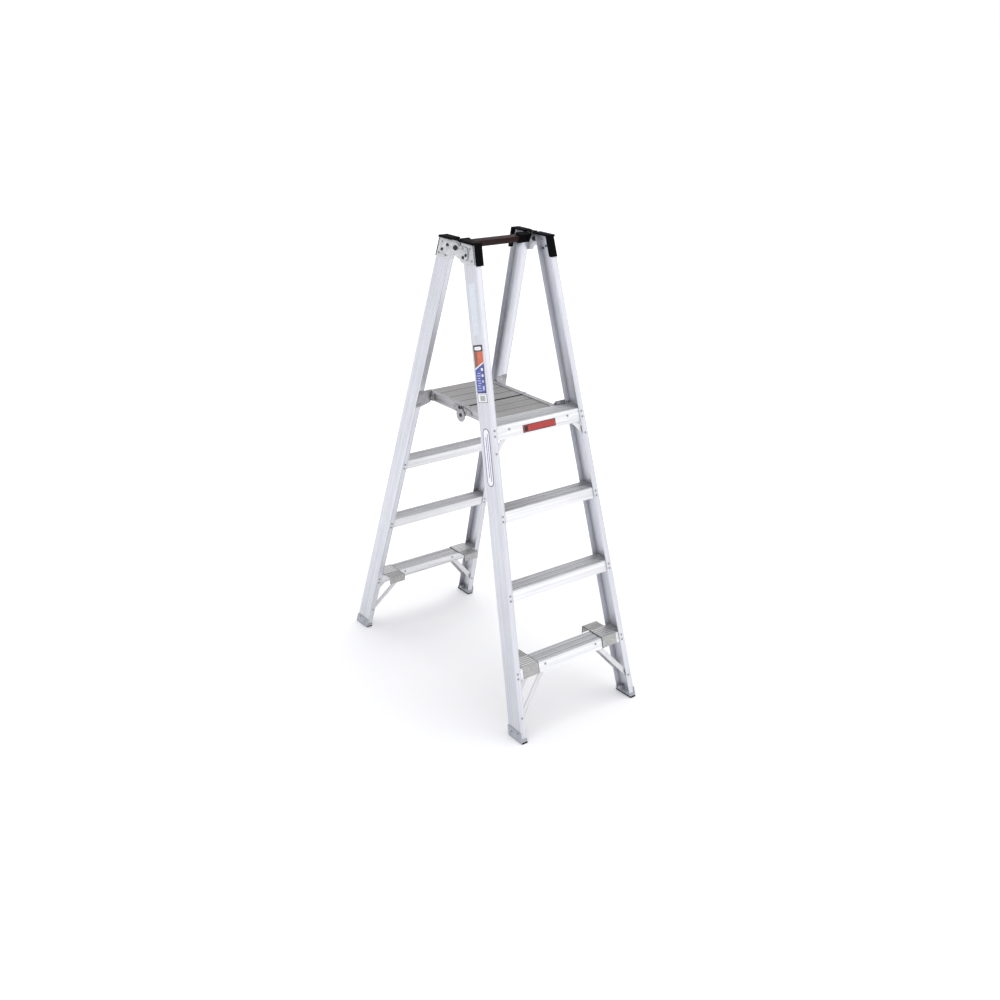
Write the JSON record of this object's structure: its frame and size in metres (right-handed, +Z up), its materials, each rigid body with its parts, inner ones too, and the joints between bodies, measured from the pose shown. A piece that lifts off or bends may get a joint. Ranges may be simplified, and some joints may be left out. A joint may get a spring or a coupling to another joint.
{
  "type": "platform step ladder",
  "caption": "Double-sided aluminium step ladder: two hinged channel-rail frames with ribbed steps, and a folding work platform with a front beam between them.",
  "frame": {"origin": "on the floor under the middle of the open ladder, midway between the four feet", "axes": "+Z up, +X along the steps to the right of a person facing the front frame, -Y towards the front frame, the one with the platform beam; the top hinge axis is parallel to X above the origin"},
  "size_m": [0.6008, 1.224, 1.822],
  "materials": {
    "aluminium": "satin extruded aluminium",
    "deck_aluminium": "ribbed mill finish aluminium",
    "zinc_steel": "zinc plated pressed steel",
    "rivet_steel": "plated steel rivets",
    "black_steel": "black oxide",
    "black_plastic": "moulded, fine texture",
    "shoe_plastic": "moulded, matte",
    "rubber": "matte",
    "bar_paint": "dark maroon paint",
    "cover_sheet": "dull sheet",
    "label_film": "printed film, plain colours only"
  },
  "bodies": {
    "front_frame": {"front_rail_left": "aluminium", "front_rail_right": "aluminium", "front_step_1": "aluminium", "front_step_2": "aluminium", "front_step_3": "aluminium", "front_beam": "aluminium", "front_step_covers": "cover_sheet", "front_knee_braces": "aluminium", "beam_braces": "aluminium", "front_gusset_left": "zinc_steel", "front_gusset_right": "zinc_steel", "front_hinge_plates": "zinc_steel", "front_caps": "black_plastic", "front_shoes": "shoe_plastic", "front_pads": "rubber", "front_rivets": "rivet_steel", "front_plate_bolts": "black_steel", "front_bracket_left": "zinc_steel", "front_bracket_right": "zinc_steel", "front_pivot_bolts": "zinc_steel", "hinge_bolts": "black_steel", "labels": "label_film"},
    "rear_frame": {"rear_rail_left": "aluminium", "rear_rail_right": "aluminium", "rear_step_1": "aluminium", "rear_step_2": "aluminium", "rear_step_3": "aluminium", "rear_step_covers": "cover_sheet", "rear_knee_braces": "aluminium", "rear_gusset_left": "zinc_steel", "rear_gusset_right": "zinc_steel", "rear_caps": "black_plastic", "rear_shoes": "shoe_plastic", "rear_pads": "rubber", "rear_rivets": "rivet_steel", "rear_plate_bolts": "black_steel", "rear_bracket_left": "zinc_steel", "rear_bracket_right": "zinc_steel", "rear_pivot_bolts": "zinc_steel", "top_bar": "bar_paint", "bar_sockets": "black_plastic"},
    "deck_front": {"deck_front_channel_left": "aluminium", "deck_front_channel_right": "aluminium", "deck_front_plank_1": "deck_aluminium", "deck_front_plank_2": "deck_aluminium", "deck_front_plank_3": "deck_aluminium", "deck_front_ears": "zinc_steel", "deck_front_rivets": "rivet_steel", "seam_strip": "rubber"},
    "deck_rear": {"deck_rear_channel_left": "aluminium", "deck_rear_channel_right": "aluminium", "deck_rear_plank_1": "deck_aluminium", "deck_rear_plank_2": "deck_aluminium", "deck_rear_plank_3": "deck_aluminium", "deck_rear_plank_4": "deck_aluminium", "deck_rear_ears": "zinc_steel", "deck_rear_rivets": "rivet_steel", "deck_mid_bolts": "black_steel"}
  },
  "joints": [
    {"name": "fold", "type": "hinge", "parent": "front_frame", "child": "rear_frame", "pos_m": [0, 0, 1.79], "axis": [-1, 0, 0], "range_deg": [0, 28]},
    {"name": "platform_front_pivot", "type": "hinge", "parent": "front_frame", "child": "deck_front", "pos_m": [0, -0.186, 1.1585], "axis": [1, 0, 0], "range_deg": [0, 79.02]},
    {"name": "platform_middle_pivot", "type": "hinge", "parent": "deck_front", "child": "deck_rear", "pos_m": [0, 0, 1.137], "axis": [-1, 0, 0], "range_deg": [0, 173.81]}
  ],
  "couplings": [
    {"joint": "platform_front_pivot", "follows": "fold", "ratio": 2.8216},
    {"joint": "platform_middle_pivot", "follows": "fold", "ratio": 6.2072}
  ]
}
